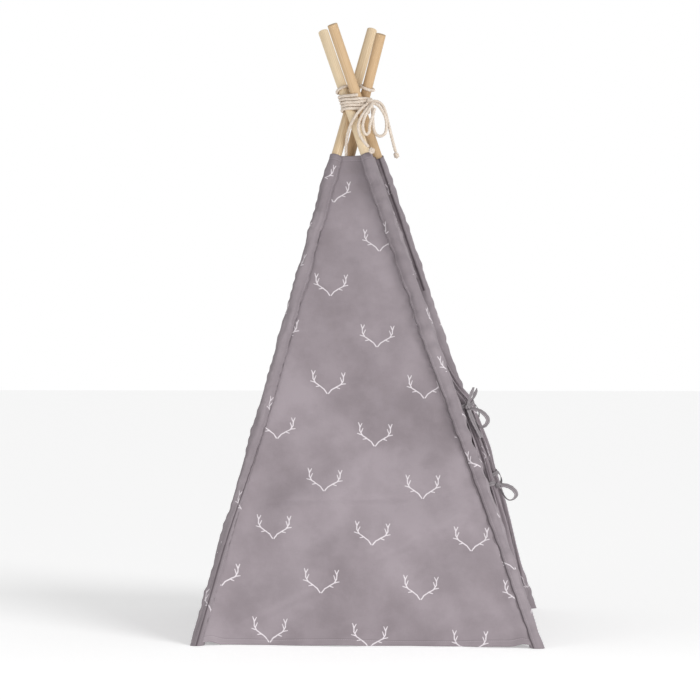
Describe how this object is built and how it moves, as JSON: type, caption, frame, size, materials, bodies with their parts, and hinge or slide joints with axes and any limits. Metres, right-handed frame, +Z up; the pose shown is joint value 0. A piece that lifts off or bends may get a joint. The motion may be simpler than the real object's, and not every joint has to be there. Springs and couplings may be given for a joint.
{
  "type": "teepee tent",
  "caption": "Square play teepee: dowel poles lashed near the top, a sewn cloth cover with pole pockets, and door flaps tied back with ribbons; folds to a bundle.",
  "frame": {"origin": "middle of the square of pole feet, on the floor", "axes": "+Z up; the doorway faces -Y; +X is to the right of someone who stands inside and looks towards +Y"},
  "size_m": [0.8198, 0.8198, 1.4847],
  "materials": {
    "pine": "sanded, unvarnished",
    "cover_cloth": "plain weave cotton canvas with a light printed motif",
    "pocket_cloth": "plain weave cotton canvas, puckered at the seams",
    "cotton_rope": "twisted cotton",
    "ribbon": "folded and stitched strip of the cover cloth"
  },
  "bodies": {
    "lashing": {"lashing_turns": "cotton_rope", "lashing_knot": "cotton_rope", "rope_tail_cover": "cotton_rope", "rope_tail_near": "cotton_rope", "rope_tail_far": "cotton_rope", "rope_loop_near": "cotton_rope", "rope_loop_far": "cotton_rope", "tail_knot_near": "cotton_rope", "tail_knot_far": "cotton_rope"},
    "front_left_leg": {"pole_front_left": "pine", "pocket_front_left": "pocket_cloth", "hitch_front_left": "cotton_rope"},
    "front_right_leg": {"pole_front_right": "pine", "pocket_front_right": "pocket_cloth"},
    "back_left_leg": {"pole_back_left": "pine", "pocket_back_left": "pocket_cloth"},
    "back_right_leg": {"pole_back_right": "pine", "pocket_back_right": "pocket_cloth", "hitch_back_right": "cotton_rope"},
    "wall_left": {"panel_left": "cover_cloth"},
    "wall_right": {"panel_right": "cover_cloth"},
    "wall_back": {"panel_back": "cover_cloth"},
    "wall_front": {"panel_front_top": "cover_cloth"},
    "door_left": {"flap_left": "cover_cloth", "tie_band_upper_left": "ribbon", "tie_band_lower_left": "ribbon", "tie_knot_upper_left": "ribbon", "tie_knot_lower_left": "ribbon", "ribbon_loop_upper_left": "ribbon", "ribbon_loop_lower_left": "ribbon", "ribbon_tail_upper_left": "ribbon"},
    "door_right": {"flap_right": "cover_cloth", "tie_band_upper_right": "ribbon", "tie_band_lower_right": "ribbon", "tie_knot_upper_right": "ribbon", "tie_knot_lower_right": "ribbon", "ribbon_loop_upper_right": "ribbon", "ribbon_loop_lower_right": "ribbon", "ribbon_tail_upper_right": "ribbon"}
  },
  "joints": [
    {"name": "fold", "type": "hinge", "parent": "lashing", "child": "front_left_leg", "pos_m": [-0.01512, 0.06147, 1.275], "axis": [0.7468, -0.665, 0], "range_deg": [0, 17.5], "deforming": ["hitch_front_left", "flap_left"]},
    {"name": "fold_front_right", "type": "hinge", "parent": "lashing", "child": "front_right_leg", "pos_m": [-0.01512, 0.03453, 1.275], "axis": [0.7468, 0.665, 0], "range_deg": [0, 17.5], "deforming": ["flap_right"]},
    {"name": "fold_back_left", "type": "hinge", "parent": "lashing", "child": "back_left_leg", "pos_m": [0.01335, 0.06323, 1.275], "axis": [-0.6593, -0.7519, 0], "range_deg": [0, 15]},
    {"name": "fold_back_right", "type": "hinge", "parent": "lashing", "child": "back_right_leg", "pos_m": [0.01335, 0.03277, 1.275], "axis": [-0.6593, 0.7519, 0], "range_deg": [0, 15], "deforming": ["hitch_back_right"]},
    {"name": "fold_wall_left", "type": "hinge", "parent": "lashing", "child": "wall_left", "pos_m": [-0.00089, 0.06235, 1.275], "axis": [0, -1, 0], "range_deg": [0, 14], "deforming": ["panel_left"]},
    {"name": "fold_wall_right", "type": "hinge", "parent": "lashing", "child": "wall_right", "pos_m": [-0.00089, 0.03365, 1.275], "axis": [0, 1, 0], "range_deg": [0, 14], "deforming": ["panel_right"]},
    {"name": "fold_wall_back", "type": "hinge", "parent": "lashing", "child": "wall_back", "pos_m": [0.01335, 0.048, 1.275], "axis": [-1, 0, 0], "range_deg": [0, 14], "deforming": ["panel_back"]},
    {"name": "fold_wall_front", "type": "hinge", "parent": "lashing", "child": "wall_front", "pos_m": [-0.01512, 0.048, 1.275], "axis": [1, 0, 0], "range_deg": [0, 14], "deforming": ["panel_front_top"]},
    {"name": "swing_flap_left", "type": "hinge", "parent": "front_left_leg", "child": "door_left", "pos_m": [-0.39, -0.39, 0], "axis": [0.2671, 0.3217, 0.9084], "range_deg": [-30, 25]},
    {"name": "swing_flap_right", "type": "hinge", "parent": "front_right_leg", "child": "door_right", "pos_m": [0.39, -0.39, 0], "axis": [-0.2886, 0.3025, 0.9084], "range_deg": [-25, 30]}
  ],
  "couplings": [
    {"joint": "fold_front_right", "follows": "fold", "ratio": 1},
    {"joint": "fold_back_left", "follows": "fold", "ratio": 0.8535},
    {"joint": "fold_back_right", "follows": "fold", "ratio": 0.8535},
    {"joint": "fold_wall_left", "follows": "fold", "ratio": 0.6775},
    {"joint": "fold_wall_right", "follows": "fold", "ratio": 0.6817},
    {"joint": "fold_wall_back", "follows": "fold", "ratio": 0.5859},
    {"joint": "fold_wall_front", "follows": "fold", "ratio": 0.7753}
  ]
}
